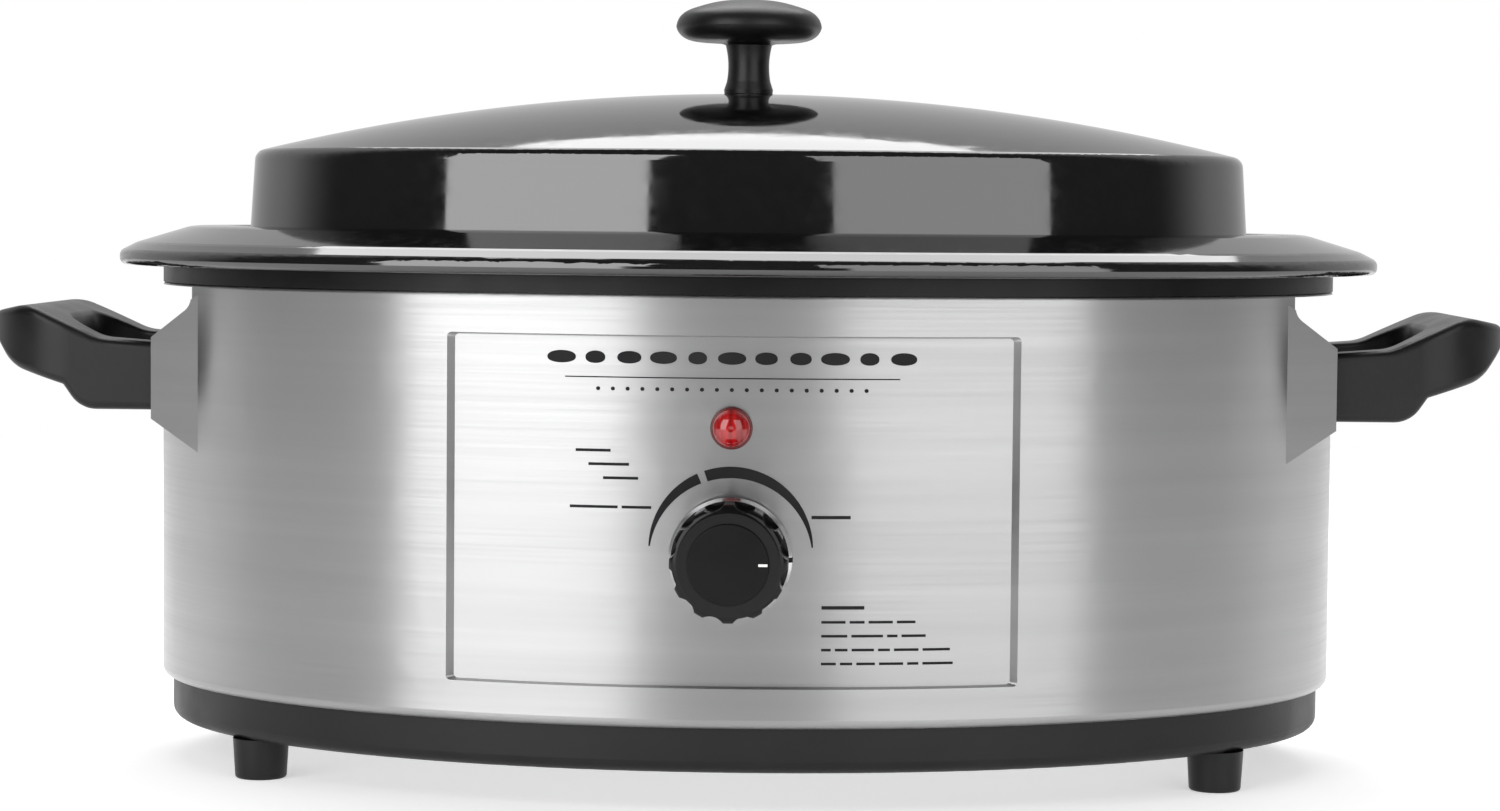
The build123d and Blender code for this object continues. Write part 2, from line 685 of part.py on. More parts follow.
with BuildPart() as thermostat_bush:
    with BuildSketch(front_plane(THERMOSTAT_FRONT)):
        with Locations((0, DIAL_Z)):
            Circle(7)
    extrude(amount=2.0)
    with BuildSketch(front_plane(THERMOSTAT_FRONT)):
        with Locations((0, DIAL_Z)):
            Circle(BUSH_RADIUS)
    extrude(amount=BUSH_FRONT - THERMOSTAT_FRONT)
    with BuildSketch(front_plane(THERMOSTAT_FRONT)):
        with Locations((0, DIAL_Z)):
            Circle(SHAFT_RADIUS + SHAFT_CLEARANCE)
    extrude(amount=BUSH_FRONT - THERMOSTAT_FRONT, mode=Mode.SUBTRACT)
finish(thermostat_bush, "thermostat_bush")

with BuildPart() as thermostat_nut:
    with BuildSketch(front_plane(PANEL_FACE + 0.05)):
        with Locations((0, DIAL_Z)):
            RegularPolygon(7, 6, major_radius=False)
            Circle(BUSH_RADIUS + 0.02, mode=Mode.SUBTRACT)
    extrude(amount=2.4)
finish(thermostat_nut, "thermostat_nut")

# Thermostat tabs: two spade terminals standing out of the body's lower side.
TAB_Y = -(THERMOSTAT_FRONT + THERMOSTAT_BACK) / 2
TAB_TOP = DIAL_Z - 15
with BuildPart() as thermostat_tabs:
    with Locations((-9, TAB_Y, TAB_TOP), (9, TAB_Y, TAB_TOP)):
        Box(6.3, SHEET, 7, align=BELOW)
finish(thermostat_tabs, "thermostat_tabs")

# Dial shaft: round, running in the bush.
with BuildPart() as dial_shaft:
    with BuildSketch(front_plane(THERMOSTAT_BACK + 3)):
        with Locations((0, DIAL_Z)):
            Circle(SHAFT_RADIUS)
    extrude(amount=DIAL_FRONT - FACE_WEB - THERMOSTAT_BACK - 3)
finish(dial_shaft, "dial_shaft")

# Dial skirt: bright conical ring around the knob's foot.
with BuildPart() as dial_skirt:
    with BuildSketch(Plane.YZ):
        with BuildLine():
            Polyline(
                (-SKIRT_BACK, DIAL_Z + 9.2),
                (-SKIRT_BACK, DIAL_Z + SKIRT_RADIUS),
                (-SKIRT_BACK - 0.9, DIAL_Z + SKIRT_RADIUS),
                (-SKIRT_FRONT, DIAL_Z + SKIRT_RADIUS - 1.2),
                (-SKIRT_FRONT, DIAL_Z + 9.2),
                close=True,
            )
        make_face()
    revolve(axis=DIAL_AXIS)
finish(dial_skirt, "dial_skirt")

# Dial knob: fluted cup with a socket for the shaft and a seat for the cap.
with BuildPart() as dial_knob:
    with BuildSketch(front_plane(SKIRT_FRONT)):
        with Locations((0, DIAL_Z)):
            Circle(KNOB_GRIP_RADIUS)
    extrude(amount=DIAL_FRONT - SKIRT_FRONT)
    fillet(dial_knob.edges().group_by(Axis.Y)[0], radius=2.2)
    with BuildSketch(front_plane(SKIRT_FRONT + 1.6)):
        with Locations((0, DIAL_Z)):
            with PolarLocations(KNOB_GRIP_RADIUS + 2.4, FLUTE_COUNT, start_angle=15):
                Circle(3.9)
    extrude(amount=DIAL_FRONT - SKIRT_FRONT, mode=Mode.SUBTRACT)
    with BuildSketch(front_plane(SKIRT_FRONT)):
        with Locations((0, DIAL_Z)):
            Circle(12)
            Circle(SOCKET_RADIUS, mode=Mode.SUBTRACT)
    extrude(amount=8.4, mode=Mode.SUBTRACT)
    with BuildSketch(front_plane(SKIRT_FRONT)):
        with Locations((0, DIAL_Z)):
            Circle(SOCKET_RADIUS)
    extrude(amount=BUSH_FRONT + 0.6 - SKIRT_FRONT, mode=Mode.SUBTRACT)
    with BuildSketch(front_plane(SKIRT_FRONT)):
        with Locations((0, DIAL_Z)):
            Circle(SHAFT_RADIUS)
    extrude(amount=DIAL_FRONT - FACE_WEB - SKIRT_FRONT, mode=Mode.SUBTRACT)
    with BuildSketch(front_plane(DIAL_FRONT - CAP_RECESS)):
        with Locations((0, DIAL_Z)):
            Circle(CAP_RADIUS)
    extrude(amount=CAP_RECESS, mode=Mode.SUBTRACT)
finish(dial_knob, "dial_knob")

# Dial cap: flat matt disc let into the knob's face, with a slot for the pointer.
with BuildPart() as dial_cap:
    with BuildSketch(front_plane(DIAL_FRONT - CAP_RECESS)):
        with Locations((0, DIAL_Z)):
            Circle(CAP_RADIUS)
    extrude(amount=CAP_RECESS + CAP_FRONT - DIAL_FRONT)
    fillet(dial_cap.edges().group_by(Axis.Y)[0], radius=0.5)
    with Locations((POINTER_X, -CAP_FRONT, DIAL_Z)):
        Box(2.4, 1.0, 0.7, mode=Mode.SUBTRACT)
finish(dial_cap, "dial_cap")

# Dial pointer: white inlay in the cap, level with its face.
with BuildPart() as dial_pointer:
    with Locations((POINTER_X, 0.25 - CAP_FRONT, DIAL_Z)):
        Box(2.4, 0.5, 0.7)
finish(dial_pointer, "dial_pointer")

# Dial clip: spring ring that grips the knob's socket, open at one side.
with BuildPart() as dial_clip:
    with BuildSketch(front_plane(BUSH_FRONT + 1.4)):
        with Locations((0, DIAL_Z)):
            Circle(5.6)
            Circle(SOCKET_RADIUS + 0.02, mode=Mode.SUBTRACT)
        with Locations((0, DIAL_Z - 5)):
            Rectangle(2, 3, mode=Mode.SUBTRACT)
    extrude(amount=2)
finish(dial_clip, "dial_clip")

# Pilot lamp: domed lens with a hollow stem through the panel, bezel, push nut and bulb.
LENS_FRONT = PANEL_FACE + 1.2
with BuildPart() as lamp_bezel:
    with BuildSketch(front_plane(PANEL_FACE + 0.05)):
        with Locations((0, LAMP_Z)):
            Circle(5.7)
            Circle(LENS_STEM_RADIUS + 0.05, mode=Mode.SUBTRACT)
    extrude(amount=LENS_FRONT - PANEL_FACE - 0.05)
    fillet(lamp_bezel.edges().group_by(Axis.Y)[0].sort_by(SortBy.LENGTH)[-1], radius=0.5)
finish(lamp_bezel, "lamp_bezel")

with BuildPart() as lamp_lens:
    with BuildSketch(Plane.YZ):
        with BuildLine():
            dome_line = ThreePointArc(
                (-LENS_FRONT - 3.4, LAMP_Z),
                (-LENS_FRONT - 2.2, LAMP_Z + 3.9),
                (-LENS_FRONT, LAMP_Z + 5.1),
            )
            Polyline(
                dome_line @ 1,
                (-LENS_FRONT, LAMP_Z + LENS_STEM_RADIUS),
                (-PANEL_FACE + 10, LAMP_Z + LENS_STEM_RADIUS),
                (-PANEL_FACE + 10, LAMP_Z + 3.2),
                (-LENS_FRONT, LAMP_Z + 3.2),
                (-LENS_FRONT, LAMP_Z),
                dome_line @ 0,
            )
        make_face()
    revolve(axis=LAMP_AXIS)
finish(lamp_lens, "lamp_lens")

with BuildPart() as lamp_nut:
    with BuildSketch(front_plane(PANEL_FACE - 2.0)):
        with Locations((0, LAMP_Z)):
            Circle(7.5)
            Circle(LENS_STEM_RADIUS + 0.05, mode=Mode.SUBTRACT)
    extrude(amount=0.6)
finish(lamp_nut, "lamp_nut")

with BuildPart() as lamp_bulb:
    with BuildSketch(front_plane(PANEL_FACE - 10)):
        with Locations((0, LAMP_Z)):
            Circle(3.1)
    extrude(amount=10)
    fillet(lamp_bulb.edges().group_by(Axis.Y)[0], radius=2.2)
finish(lamp_bulb, "lamp_bulb")

# Heater band: mica-insulated element wrapped round the well, with its ends either side of the dial.
with BuildPart() as heater_band:
    with BuildSketch(Plane.XZ):
        with BuildLine():
            Polyline(
                (well_x(BAND_LOW), BAND_LOW),
                (well_x(BAND_LOW) + BAND_THICKNESS, BAND_LOW),
                (well_x(BAND_HIGH) + BAND_THICKNESS, BAND_HIGH),
                (well_x(BAND_HIGH), BAND_HIGH),
                close=True,
            )
        make_face()
    sweep(path=SHELL_PATH)
    with Locations((0, -PANEL_FACE, DIAL_Z)):
        Box(2 * BAND_GAP_HALF_WIDTH, 120, 80, mode=Mode.SUBTRACT)
finish(heater_band, "heater_band")

# Heater straps: two thin steel strips over the band, closed across its gap.
with BuildPart() as heater_straps:
    for strap_z in (BAND_LOW + 3, BAND_HIGH - 9):
        with BuildSketch(Plane.XZ):
            with BuildLine():
                strap_foot = well_x(strap_z) + BAND_THICKNESS + 0.1
                strap_head = well_x(strap_z + 6) + BAND_THICKNESS + 0.1
                Polyline(
                    (strap_foot, strap_z),
                    (strap_foot + 0.5, strap_z),
                    (strap_head + 0.5, strap_z + 6),
                    (strap_head, strap_z + 6),
                    close=True,
                )
            make_face()
        sweep(path=SHELL_PATH)
finish(heater_straps, "heater_straps")

# Insulation wrap: glass-fibre blanket over the band, left open in front for the thermostat.
with BuildPart() as insulation_wrap:
    with BuildSketch(Plane.XZ):
        with BuildLine():
            wrap_gap = BAND_THICKNESS + 0.8
            Polyline(
                (well_x(WRAP_LOW) + wrap_gap, WRAP_LOW),
                (well_x(WRAP_LOW) + wrap_gap + WRAP_THICKNESS, WRAP_LOW),
                (well_x(WRAP_HIGH) + wrap_gap + WRAP_THICKNESS, WRAP_HIGH),
                (well_x(WRAP_HIGH) + wrap_gap, WRAP_HIGH),
                close=True,
            )
        make_face()
    sweep(path=SHELL_PATH)
    with Locations((0, -PANEL_FACE, (WRAP_LOW + WRAP_HIGH) / 2)):
        Box(2 * WRAP_GAP_HALF_WIDTH, 120, 120, mode=Mode.SUBTRACT)
finish(insulation_wrap, "insulation_wrap")

# Heater terminals: two ceramic posts on the band's ends.
TERMINAL_X = BAND_GAP_HALF_WIDTH + 9
TERMINAL_FOOT_Y = -96.2
TERMINAL_Z = 65.0
with BuildPart() as heater_terminals:
    with BuildSketch(front_plane(-TERMINAL_FOOT_Y)):
        with Locations((-TERMINAL_X, TERMINAL_Z), (TERMINAL_X, TERMINAL_Z)):
            Circle(3.2)
    extrude(amount=8)
finish(heater_terminals, "heater_terminals")

# Thermal cut-out: one-shot fuse held under the well's floor by a spring clip.
FUSE_X = -20.0
FUSE_Z = WELL_FLOOR - SHEET - 3.6
with BuildPart() as thermal_fuse:
    with Locations((FUSE_X, 0, FUSE_Z)):
        Cylinder(2.2, 14, rotation=(90, 0, 0))
finish(thermal_fuse, "thermal_fuse")

with BuildPart() as fuse_clip:
    with BuildSketch(Plane.XZ.offset(-3)):
        with Locations((FUSE_X, FUSE_Z)):
            Circle(2.9)
            Circle(2.25, mode=Mode.SUBTRACT)
        with Locations((FUSE_X, WELL_FLOOR - SHEET - 0.5)):
            Rectangle(12, 0.9)
    extrude(amount=6)
finish(fuse_clip, "fuse_clip")

# Terminal block on the bottom plate, just inside the cord entry.
BLOCK_Y = 78.0
BLOCK_TOP = PLATE_Z + SHEET + 11
with BuildPart() as terminal_block:
    with Locations((0, BLOCK_Y, PLATE_Z + SHEET)):
        Box(24, 14, 11, align=ON_TOP)
    with Locations((-6, BLOCK_Y, BLOCK_TOP), (6, BLOCK_Y, BLOCK_TOP)):
        Cylinder(2.6, 6, align=BELOW, mode=Mode.SUBTRACT)
finish(terminal_block, "terminal_block")

with BuildPart() as terminal_screws:
    with Locations((-6, BLOCK_Y, BLOCK_TOP - 1), (6, BLOCK_Y, BLOCK_TOP - 1)):
        Cylinder(2.4, 5, align=BELOW)
        Box(4.0, 0.7, 1.4, mode=Mode.SUBTRACT)
finish(terminal_screws, "terminal_screws")

# Cord gland: moulded bush in the rear of the shell, with the bore for the mains lead.
with BuildPart() as cord_gland:
    with BuildSketch(Plane.YZ):
        with BuildLine():
            Polyline(
                (SHELL_B - 6, GLAND_Z + GLAND_BORE_RADIUS),
                (SHELL_B - 6, GLAND_Z + 6.4),
                (SHELL_B + 0.1, GLAND_Z + 6.4),
                (SHELL_B + 0.1, GLAND_Z + 8.6),
                (SHELL_B + 2.6, GLAND_Z + 8.6),
                (SHELL_B + 9, GLAND_Z + 5.8),
                (SHELL_B + 9, GLAND_Z + GLAND_BORE_RADIUS),
                close=True,
            )
        make_face()
    revolve(axis=GLAND_AXIS)
finish(cord_gland, "cord_gland")

with BuildPart() as gland_nut:
    with BuildSketch(front_plane(SHEET + 0.3 - SHELL_B)):
        with Locations((0, GLAND_Z)):
            Circle(9.2)
            Circle(6.45, mode=Mode.SUBTRACT)
    extrude(amount=3)
finish(gland_nut, "gland_nut")


def lead(name, *points):
    """Insulated internal lead along straight runs joined by arcs."""
    with BuildPart() as wire:
        with BuildLine() as route:
            FilletPolyline(*points, radius=LEAD_BEND)
        route_wire = route.wire()
        with BuildSketch(Plane(route_wire @ 0, z_dir=route_wire % 0)):
            Circle(LEAD_RADIUS)
        sweep(path=route_wire)
    finish(wire, name)


# Leads: block to cut-out, cut-out to thermostat, thermostat to heater, heater back to the block.
LEAD_Z = 22.0
BLOCK_FRONT = BLOCK_Y - 7.1
POST_Y = TERMINAL_FOOT_Y - 4.8
POST_BOTTOM = TERMINAL_Z - 3.3
TAB_BOTTOM = TAB_TOP - 7.1
lead(
    "lead_live",
    (6, BLOCK_FRONT, LEAD_Z),
    (6, 50, LEAD_Z),
    (FUSE_X, 32, LEAD_Z + 2),
    (FUSE_X, 18, FUSE_Z),
    (FUSE_X, 7.1, FUSE_Z),
)
lead(
    "lead_cutout",
    (FUSE_X, -7.1, FUSE_Z),
    (FUSE_X, -20, FUSE_Z),
    (-16, -60, LEAD_Z + 2),
    (-9, -100, LEAD_Z + 2),
    (-9, TAB_Y, LEAD_Z + 12),
    (-9, TAB_Y, TAB_BOTTOM),
)
lead(
    "lead_heater",
    (9, TAB_Y, TAB_BOTTOM),
    (9, TAB_Y, TAB_BOTTOM - 8),
    (TERMINAL_X, TAB_Y + 1, TAB_BOTTOM - 8),
    (TERMINAL_X, POST_Y, TAB_BOTTOM + 4),
    (TERMINAL_X, POST_Y, POST_BOTTOM),
)
lead(
    "lead_neutral",
    (-6, BLOCK_FRONT, LEAD_Z),
    (-6, 60, LEAD_Z),
    (-50, 35, LEAD_Z),
    (-50, -50, LEAD_Z),
    (-TERMINAL_X, -98, LEAD_Z + 2),
    (-TERMINAL_X, TAB_Y + 1, LEAD_Z + 12),
    (-TERMINAL_X, TAB_Y + 1, TAB_BOTTOM - 3),
    (-TERMINAL_X, POST_Y, TAB_BOTTOM + 4),
    (-TERMINAL_X, POST_Y, POST_BOTTOM),
)

# Lamp leads: down either side of the thermostat, to its outgoing tab and to the neutral post.
LAMP_BACK = -PANEL_FACE + 10.1
LAMP_LEAD_X = THERMOSTAT_HALF_WIDTH + 5
lead(
    "lamp_lead_live",
    (1.5, LAMP_BACK, LAMP_Z),
    (1.5, LAMP_BACK + 7, LAMP_Z),
    (9, LAMP_BACK + 7, LAMP_Z - 8),
    (LAMP_LEAD_X, LAMP_BACK + 2, LAMP_Z - 18),
    (LAMP_LEAD_X, TAB_Y, TAB_TOP + 8),
    (LAMP_LEAD_X, TAB_Y, TAB_TOP - 4),
    (12.3, TAB_Y, TAB_TOP - 4),
)
lead(
    "lamp_lead_neutral",
    (-1.5, LAMP_BACK, LAMP_Z),
    (-1.5, LAMP_BACK + 7, LAMP_Z),
    (-9, LAMP_BACK + 7, LAMP_Z - 8),
    (-LAMP_LEAD_X, POST_Y, LAMP_Z - 18),
    (-LAMP_LEAD_X, POST_Y, TERMINAL_Z),
    (3.3 - TERMINAL_X, POST_Y, TERMINAL_Z),
)
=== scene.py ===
"""Looks for the hot stone heater: materials, printed marks, small pieces, light and camera."""

import json
from math import cos, pi, radians, sin, sqrt

import bmesh
import bpy
from mathutils import Euler, Matrix, Vector


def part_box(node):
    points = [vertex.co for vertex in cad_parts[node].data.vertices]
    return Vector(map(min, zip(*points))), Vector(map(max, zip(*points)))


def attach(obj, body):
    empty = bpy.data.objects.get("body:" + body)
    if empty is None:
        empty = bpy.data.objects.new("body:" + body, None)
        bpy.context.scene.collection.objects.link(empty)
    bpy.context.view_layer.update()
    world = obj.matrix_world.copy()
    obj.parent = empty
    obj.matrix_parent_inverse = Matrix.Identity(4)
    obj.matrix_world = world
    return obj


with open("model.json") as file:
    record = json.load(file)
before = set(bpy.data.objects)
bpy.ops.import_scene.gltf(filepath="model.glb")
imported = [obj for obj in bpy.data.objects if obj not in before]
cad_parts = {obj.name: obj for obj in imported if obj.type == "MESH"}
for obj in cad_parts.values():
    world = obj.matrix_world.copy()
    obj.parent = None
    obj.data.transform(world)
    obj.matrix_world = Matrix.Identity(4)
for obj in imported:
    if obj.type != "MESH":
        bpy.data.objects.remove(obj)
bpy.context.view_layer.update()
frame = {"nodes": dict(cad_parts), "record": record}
NODES = frame["nodes"]
MM = 0.001

SHELL_B = -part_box("outer_shell")[0][1]
SHELL_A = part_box("body_ring")[1][0]
PANEL_DEPTH = 2.0 * MM
PANEL_A = SHELL_A - PANEL_DEPTH
PANEL_B = SHELL_B - PANEL_DEPTH
SKIRT_LOW, SKIRT_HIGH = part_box("dial_skirt")
DIAL_Z = (SKIRT_LOW[2] + SKIRT_HIGH[2]) / 2
SKIRT_RADIUS = (SKIRT_HIGH[0] - SKIRT_LOW[0]) / 2


# ---------------------------------------------------------------- materials

def new_material(name, color, roughness, metallic=0.0):
    """A principled material with its plain values on the shader's own sockets."""
    material = bpy.data.materials.new(name)
    material.use_nodes = True
    shader = material.node_tree.nodes["Principled BSDF"]
    shader.inputs["Base Color"].default_value = (*color, 1.0)
    shader.inputs["Roughness"].default_value = roughness
    shader.inputs["Metallic"].default_value = metallic
    return material, shader


def object_noise(material, stretch, scale, detail=4.0, seed=0.0):
    """Noise in the object's own coordinates, stretched along each axis."""
    nodes = material.node_tree.nodes
    links = material.node_tree.links
    place = nodes.new("ShaderNodeTexCoord")
    mapping = nodes.new("ShaderNodeMapping")
    mapping.inputs["Scale"].default_value = stretch
    mapping.inputs["Location"].default_value = (seed, seed * 1.7, seed * 0.6)
    noise = nodes.new("ShaderNodeTexNoise")
    noise.inputs["Scale"].default_value = scale
    noise.inputs["Detail"].default_value = detail
    links.new(place.outputs["Object"], mapping.inputs["Vector"])
    links.new(mapping.outputs["Vector"], noise.inputs["Vector"])
    return noise.outputs["Fac"]


def ranged(material, value, low, high):
    """A 0 to 1 value stretched to run from low to high."""
    node = material.node_tree.nodes.new("ShaderNodeMapRange")
    node.inputs["From Min"].default_value = 0.3
    node.inputs["From Max"].default_value = 0.7
    node.inputs["To Min"].default_value = low
    node.inputs["To Max"].default_value = high
    material.node_tree.links.new(value, node.inputs["Value"])
    return node.outputs["Result"]


def shaded(material, value, dark, light):
    """A colour between dark and light, led by a 0 to 1 value."""
    ramp = material.node_tree.nodes.new("ShaderNodeValToRGB")
    ramp.color_ramp.elements[0].position = 0.3
    ramp.color_ramp.elements[0].color = (*dark, 1.0)
    ramp.color_ramp.elements[1].position = 0.7
    ramp.color_ramp.elements[1].color = (*light, 1.0)
    material.node_tree.links.new(value, ramp.inputs["Fac"])
    return ramp.outputs["Color"]


def bumped(material, shader, value, strength, distance):
    """Gives the shader a bump led by a value."""
    node = material.node_tree.nodes.new("ShaderNodeBump")
    node.inputs["Strength"].default_value = strength
    node.inputs["Distance"].default_value = distance
    material.node_tree.links.new(value, node.inputs["Height"])
    material.node_tree.links.new(node.outputs["Normal"], shader.inputs["Normal"])


def brushed_steel():
    """Steel sheet brushed along the body, so that its highlights spread up and down."""
    material, shader = new_material("brushed_steel", (0.40, 0.40, 0.403), 0.34, 1.0)
    fine = object_noise(material, (14.0, 14.0, 2200.0), 1.0, 3.0)
    broad = object_noise(material, (5.0, 5.0, 160.0), 1.0, 3.0, seed=4.0)
    links = material.node_tree.links
    tone = shaded(material, broad, (0.39, 0.39, 0.393), (0.425, 0.425, 0.428))
    links.new(tone, shader.inputs["Base Color"])
    links.new(ranged(material, fine, 0.30, 0.38), shader.inputs["Roughness"])
    shader.inputs["Anisotropic"].default_value = 0.9
    shader.inputs["Anisotropic Rotation"].default_value = 0.25
    tangent = material.node_tree.nodes.new("ShaderNodeTangent")
    tangent.direction_type = "RADIAL"
    tangent.axis = "Z"
    links.new(tangent.outputs["Tangent"], shader.inputs["Tangent"])
    bumped(material, shader, fine, 0.05, 0.00002)
    return material


def black_enamel():
    """Glossy vitreous enamel on drawn steel, with a faint ripple."""
    material, shader = new_material("black_enamel", (0.003, 0.003, 0.0033), 0.06)
    ripple = object_noise(material, (1.0, 1.0, 1.0), 45.0, 2.0)
    haze = object_noise(material, (1.0, 1.0, 1.0), 220.0, 3.0, seed=2.0)
    links = material.node_tree.links
    links.new(ranged(material, haze, 0.04, 0.09), shader.inputs["Roughness"])
    tone = shaded(material, haze, (0.0025, 0.0025, 0.0028), (0.004, 0.004, 0.0044))
    links.new(tone, shader.inputs["Base Color"])
    shader.inputs["IOR"].default_value = 1.9
    bumped(material, shader, ripple, 0.03, 0.0002)
    return material


def moulded(name, dark, light, rough_low, rough_high, grain=900.0, bump=0.12, shine=0.5):
    """Moulded plastic with a fine grain and slightly uneven gloss."""
    material, shader = new_material(name, light, rough_high)
    shader.inputs["Specular IOR Level"].default_value = shine
    fine = object_noise(material, (1.0, 1.0, 1.0), grain, 2.0)
    broad = object_noise(material, (1.0, 1.0, 1.0), 60.0, 4.0, seed=3.0)
    links = material.node_tree.links
    links.new(shaded(material, broad, dark, light), shader.inputs["Base Color"])
    links.new(ranged(material, broad, rough_low, rough_high), shader.inputs["Roughness"])
    bumped(material, shader, fine, bump, 0.0002)
    return material


def plain_metal(name, dark, light, rough_low, rough_high, stretch=(1.0, 1.0, 1.0), scale=400.0):
    """Plated, turned or mill-finish metal with a slightly uneven surface."""
    material, shader = new_material(name, light, rough_high, 1.0)
    noise = object_noise(material, stretch, scale, 3.0, seed=1.0)
    links = material.node_tree.links
    links.new(shaded(material, noise, dark, light), shader.inputs["Base Color"])
    links.new(ranged(material, noise, rough_low, rough_high), shader.inputs["Roughness"])
    bumped(material, shader, noise, 0.05, 0.0001)
    return material


def lamp_red():
    """Red moulded lens with fine upright flutes."""
    material, shader = new_material("lamp_red", (0.34, 0.006, 0.008), 0.10)
    shader.inputs["Coat Weight"].default_value = 0.6
    shader.inputs["Coat Roughness"].default_value = 0.05
    flutes = object_noise(material, (900.0, 1.0, 12.0), 1.0, 1.0)
    links = material.node_tree.links
    tone = shaded(material, flutes, (0.20, 0.003, 0.004), (0.42, 0.010, 0.012))
    links.new(tone, shader.inputs["Base Color"])
    bumped(material, shader, flutes, 0.15, 0.0002)
    return material


def fibre():
    """Loose glass-fibre blanket."""
    material, shader = new_material("glass_fibre", (0.80, 0.77, 0.68), 0.95)
    tufts = object_noise(material, (1.0, 1.0, 1.0), 160.0, 8.0)
    links = material.node_tree.links
    links.new(shaded(material, tufts, (0.60, 0.57, 0.48), (0.86, 0.83, 0.75)), shader.inputs["Base Color"])
    bumped(material, shader, tufts, 0.9, 0.002)
    return material


MATERIALS = {
    "steel_shell": brushed_steel(),
    "black_enamel": black_enamel(),
    "ring_black": moulded(
        "ring_black", (0.002, 0.002, 0.002), (0.004, 0.004, 0.004),
        0.30, 0.40, shine=0.22,
    ),
    "base_black": moulded(
        "base_black", (0.005, 0.005, 0.0055), (0.009, 0.009, 0.0095),
        0.36, 0.48, shine=0.30,
    ),
    "handle_black": moulded(
        "handle_black", (0.004, 0.004, 0.0045), (0.008, 0.008, 0.0085),
        0.30, 0.42, shine=0.30,
    ),
    "dial_black": moulded(
        "dial_black", (0.003, 0.003, 0.003), (0.005, 0.005, 0.005),
        0.12, 0.20, 500.0, 0.04, 0.25,
    ),
    "dial_matt": moulded("dial_matt", (0.003, 0.003, 0.003), (0.006, 0.006, 0.006), 0.42, 0.55, shine=0.15),
    "dial_bright": plain_metal("dial_bright", (0.80, 0.80, 0.81), (0.90, 0.90, 0.91), 0.10, 0.20),
    "mark_white": moulded("mark_white", (0.70, 0.70, 0.68), (0.84, 0.84, 0.82), 0.45, 0.60),
    "lamp_red": lamp_red(),
    "lamp_trim": moulded("lamp_trim", (0.06, 0.004, 0.004), (0.10, 0.008, 0.008), 0.20, 0.30),
    "lamp_glass": moulded("lamp_glass", (0.75, 0.60, 0.45), (0.90, 0.80, 0.65), 0.05, 0.10),
    "plated_steel": plain_metal("plated_steel", (0.48, 0.48, 0.49), (0.62, 0.62, 0.63), 0.22, 0.38),
    "aluminised_steel": plain_metal("aluminised_steel", (0.42, 0.42, 0.43), (0.56, 0.56, 0.57), 0.32, 0.50),
    "brass": plain_metal("brass", (0.60, 0.44, 0.18), (0.74, 0.57, 0.27), 0.22, 0.36),
    "mica": moulded("mica", (0.34, 0.28, 0.20), (0.56, 0.49, 0.38), 0.45, 0.70, 300.0, 0.3),
    "glass_fibre": fibre(),
    "white_ceramic": moulded("white_ceramic", (0.74, 0.72, 0.66), (0.86, 0.84, 0.79), 0.40, 0.60),
    "thermostat_brown": moulded("thermostat_brown", (0.05, 0.028, 0.018), (0.09, 0.052, 0.034), 0.35, 0.50),
    "lead_sleeve": moulded("lead_sleeve", (0.60, 0.57, 0.50), (0.74, 0.71, 0.64), 0.50, 0.65),
    "ink": moulded("ink", (0.008, 0.008, 0.009), (0.016, 0.016, 0.017), 0.45, 0.60, 1500.0, 0.05, 0.12),
}


def paint_nodes():
    """Every CAD node takes the material of its slot in the record."""
    slots = {part["node"]: part["material_slot"] for part in frame["record"]["subparts"]}
    for name, node in NODES.items():
        material = MATERIALS[slots[name]]
        if not node.material_slots:
            node.data.materials.append(material)
        for material_slot in node.material_slots:
            material_slot.material = material


# ---------------------------------------------------------------- geometry helpers

def mesh_piece(name, vertices, faces, material, body):
    """A mesh object that belongs to the heater."""
    mesh = bpy.data.meshes.new(name)
    mesh.from_pydata(vertices, [], faces)
    mesh.validate()
    mesh.update()
    piece = bpy.data.objects.new(name, mesh)
    bpy.context.scene.collection.objects.link(piece)
    mesh.materials.append(material)
    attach(piece, body)
    return piece


def panel_point(x, z, lift=0.0):
    """Point on the recessed panel at a place in the front view, lifted off it."""
    depth = PANEL_B * sqrt(1 - (x / PANEL_A) ** 2)
    normal = Vector((x / PANEL_A ** 2, -depth / PANEL_B ** 2, 0)).normalized()
    return Vector((x, -depth, z)) + normal * lift


INK_HEIGHT = 0.06 * MM


def printed(name, outlines):
    """Thin ink on the panel: each outline is two rails of (x, z) points, run side by side."""
    vertices, faces = [], []
    for first_rail, second_rail in outlines:
        start = len(vertices)
        count = len(first_rail)
        for lift in (INK_HEIGHT, -INK_HEIGHT / 2):
            for rail in (first_rail, second_rail):
                vertices += [panel_point(x, z, lift) for x, z in rail]
        top_a, top_b = start, start + count
        low_a, low_b = start + 2 * count, start + 3 * count
        for i in range(count - 1):
            faces.append((top_a + i, top_b + i, top_b + i + 1, top_a + i + 1))
            faces.append((low_a + i + 1, low_b + i + 1, low_b + i, low_a + i))
            faces.append((top_a + i + 1, low_a + i + 1, low_a + i, top_a + i))
            faces.append((top_b + i, low_b + i, low_b + i + 1, top_b + i + 1))
        last = count - 1
        faces.append((top_a, low_a, low_b, top_b))
        faces.append((top_b + last, low_b + last, low_a + last, top_a + last))
    fix_normals(mesh_piece(name, vertices, faces, MATERIALS["ink"], "base"))


def fix_normals(piece):
    """Turns every face outwards."""
    work = bmesh.new()
    work.from_mesh(piece.data)
    bmesh.ops.recalc_face_normals(work, faces=work.faces)
    work.to_mesh(piece.data)
    work.free()


def bar(x_low, x_high, z, height, steps=8):
    """Rails of a straight printed bar."""
    xs = [x_low + (x_high - x_low) * i / steps for i in range(steps + 1)]
    return [(x, z + height / 2) for x in xs], [(x, z - height / 2) for x in xs]


